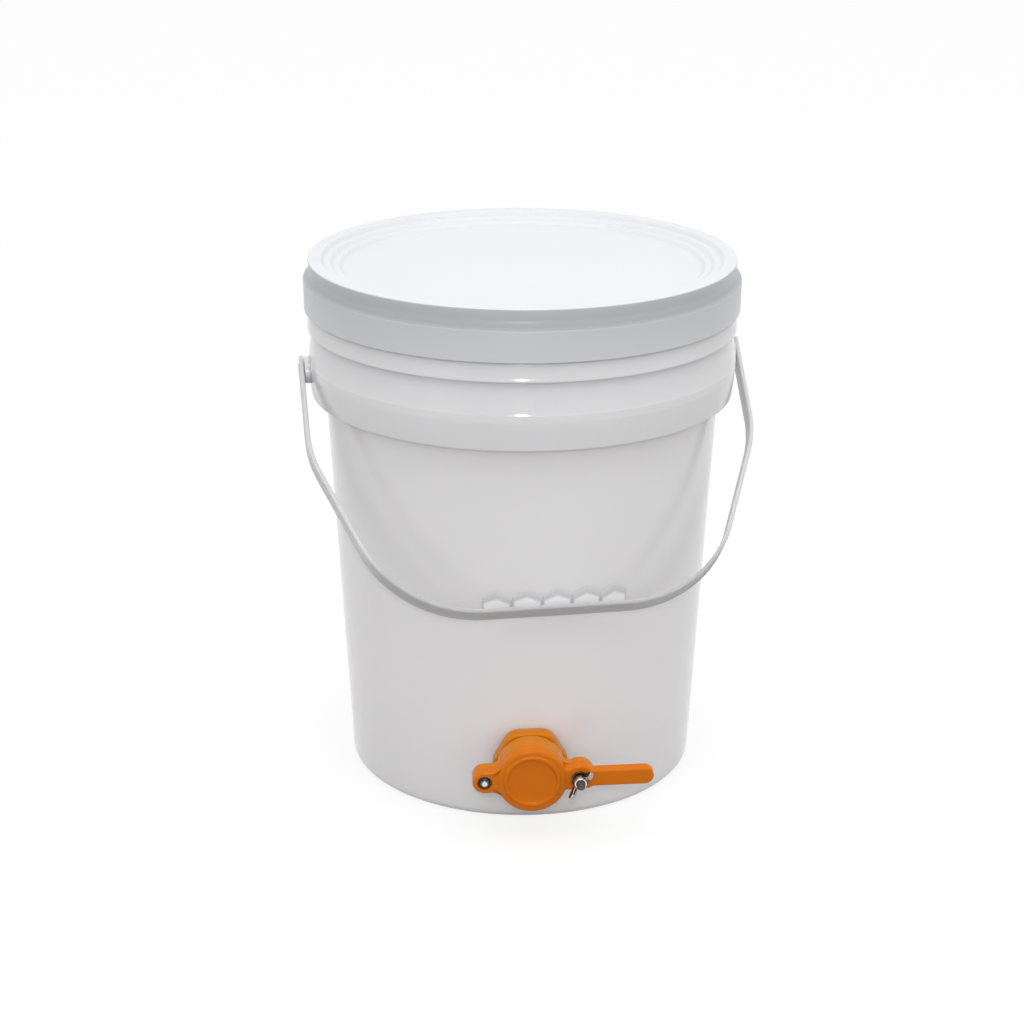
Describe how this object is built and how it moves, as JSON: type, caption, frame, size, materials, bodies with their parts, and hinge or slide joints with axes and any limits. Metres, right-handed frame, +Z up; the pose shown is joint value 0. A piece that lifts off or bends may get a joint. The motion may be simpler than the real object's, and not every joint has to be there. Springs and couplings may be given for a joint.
{
  "type": "honey bucket with gate",
  "caption": "Round tapered plastic bucket with a stepped press-on lid, a swinging strap bail and a bolted swing gate with a wing nut at the foot for pouring honey.",
  "frame": {"origin": "on the pail's axis, at the floor that it stands on", "axes": "+Z up along the pail's axis, -Y out through the gate, +X to the right as seen facing the gate"},
  "size_m": [0.3252, 0.3284, 0.38],
  "materials": {
    "pail_plastic": "satin moulded white polypropylene",
    "lid_plastic": "moulded white polypropylene",
    "strap_plastic": "moulded pale polypropylene",
    "gate_plastic": "moulded orange polypropylene",
    "seal_rubber": "matte grey food-grade rubber",
    "bolt_steel": "bright stainless steel"
  },
  "bodies": {
    "pail": {"pail_body": "pail_plastic", "gate_body": "gate_plastic", "gate_outer_gasket": "seal_rubber", "gate_inner_gasket": "seal_rubber", "gate_lock_nut": "gate_plastic", "gate_seal_ring": "seal_rubber", "pivot_bolt": "bolt_steel", "pivot_front_washer": "bolt_steel", "pivot_rear_washer": "bolt_steel", "pivot_nut": "bolt_steel", "clamp_bolt": "bolt_steel", "clamp_rear_washer": "bolt_steel"},
    "lid": {"lid": "lid_plastic", "lid_seal": "seal_rubber"},
    "bail": {"bail_strap": "strap_plastic"},
    "blade": {"gate_blade": "gate_plastic"},
    "loose_washer": {"clamp_washer": "bolt_steel"},
    "wing_nut": {"wing_nut": "bolt_steel"}
  },
  "joints": [
    {"name": "lid_lift", "type": "slide", "parent": "pail", "child": "lid", "axis": [0, 0, 1], "range_m": [0, 0.12]},
    {"name": "bail_swing", "type": "hinge", "parent": "pail", "child": "bail", "pos_m": [0, 0, 0.302], "axis": [-0.9925, -0.1219, 0], "range_deg": [0, 268]},
    {"name": "gate_swing", "type": "hinge", "parent": "pail", "child": "blade", "pos_m": [-0.03299, -0.15677, 0.04559], "axis": [0, -0.9987, -0.0511], "range_deg": [0, 120]},
    {"name": "washer_slide", "type": "slide", "parent": "pail", "child": "loose_washer", "axis": [0, -0.9987, -0.0511], "range_m": [0, 0.003]},
    {"name": "wing_nut_turn", "type": "hinge", "parent": "loose_washer", "child": "wing_nut", "pos_m": [0.03299, -0.16486, 0.04714], "axis": [0, -0.9987, -0.0511], "range_deg": [0, 1080]}
  ],
  "couplings": [
    {"joint": "washer_slide", "follows": "wing_nut_turn", "m_per_rad": 0.00015915}
  ]
}
